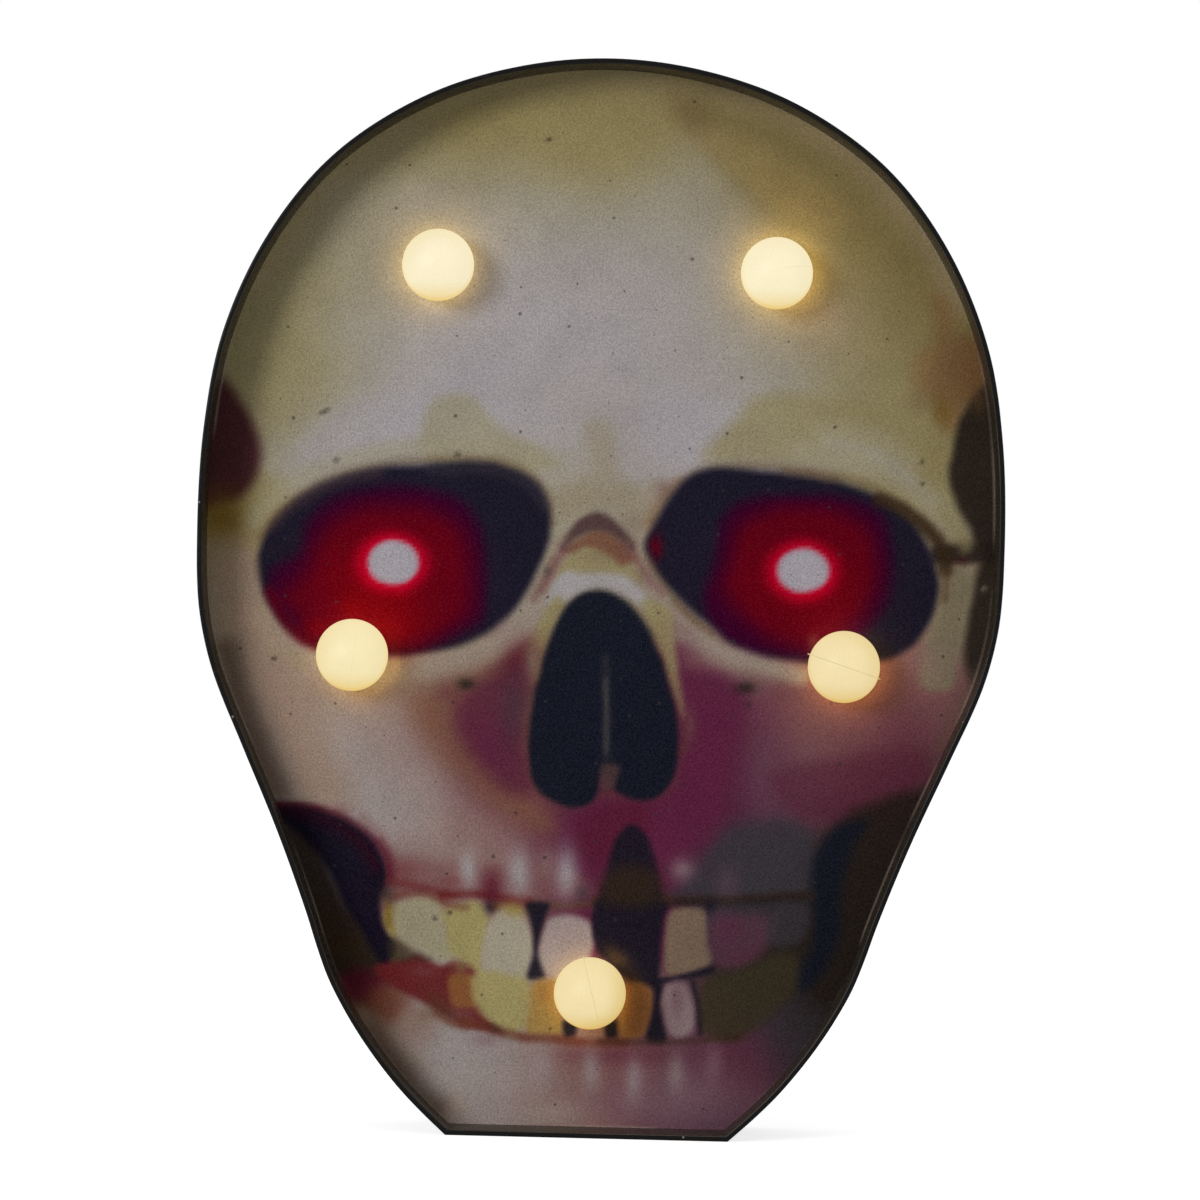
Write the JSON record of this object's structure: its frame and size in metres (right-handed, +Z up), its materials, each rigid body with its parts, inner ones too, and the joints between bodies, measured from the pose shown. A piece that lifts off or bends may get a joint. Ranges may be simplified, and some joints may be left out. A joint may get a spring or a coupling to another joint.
{
  "type": "lit skull sign",
  "caption": "Skull-shaped battery-lit sign: shallow black frame, recessed printed face and frosted globes over LEDs, with a back cover, keyhole, battery box, sliding door and slide switch.",
  "frame": {"origin": "middle of the flat chin's foot, midway between the front and rear rims", "axes": "+Z up to the crown, the printed face looks towards -Y, +X to the viewer's right"},
  "size_m": [0.1616, 0.033, 0.216],
  "materials": {
    "frame": "glossy moulded black plastic",
    "print": "printed sheet, satin, distressed bone, purple and red",
    "globe": "frosted white, lit warm from inside",
    "led": "clear warm-white LED",
    "holder": "plain moulded",
    "cover": "finely grained black",
    "knob": "plain moulded, ribbed",
    "switch_case": "tinned sheet",
    "cell": "plain coloured jacket",
    "contact": "nickel plated",
    "screw": "zinc plated",
    "lead": "insulated, pale"
  },
  "bodies": {
    "sign": {"front_frame": "frame", "face_print": "print", "globe_forehead_left": "globe", "globe_forehead_right": "globe", "globe_cheek_left": "globe", "globe_cheek_right": "globe", "globe_mouth": "globe", "led_forehead_left": "led", "led_forehead_right": "led", "led_cheek_left": "led", "led_cheek_right": "led", "led_mouth": "led", "holder_forehead_left": "holder", "holder_forehead_right": "holder", "holder_cheek_left": "holder", "holder_cheek_right": "holder", "holder_mouth": "holder", "back_cover": "cover", "cover_screw_1": "screw", "cover_screw_2": "screw", "cover_screw_3": "screw", "cover_screw_4": "screw", "cover_screw_5": "screw", "cover_screw_6": "screw", "box_screw_1": "screw", "box_screw_2": "screw", "battery_box": "cover", "battery_cell_left": "cell", "battery_cell_right": "cell", "contact_spring_left": "contact", "contact_spring_right": "contact", "bridge_contact": "contact", "negative_contact": "contact", "positive_contact": "contact", "switch_body": "switch_case", "lead_box_to_mouth": "lead", "lead_mouth_to_cheek": "lead", "lead_cheek_to_forehead_left": "lead", "lead_cheek_to_forehead_right": "lead", "lead_forehead_to_forehead": "lead", "switch_jumper": "lead"},
    "door": {"battery_door": "cover"},
    "knob": {"switch_knob": "knob"}
  },
  "joints": [
    {"name": "door_slide", "type": "slide", "parent": "sign", "child": "door", "axis": [0, 0, 1], "range_m": [0, 0.062]},
    {"name": "switch_slide", "type": "slide", "parent": "sign", "child": "knob", "axis": [1, 0, 0], "range_m": [-0.0026, 0]}
  ]
}
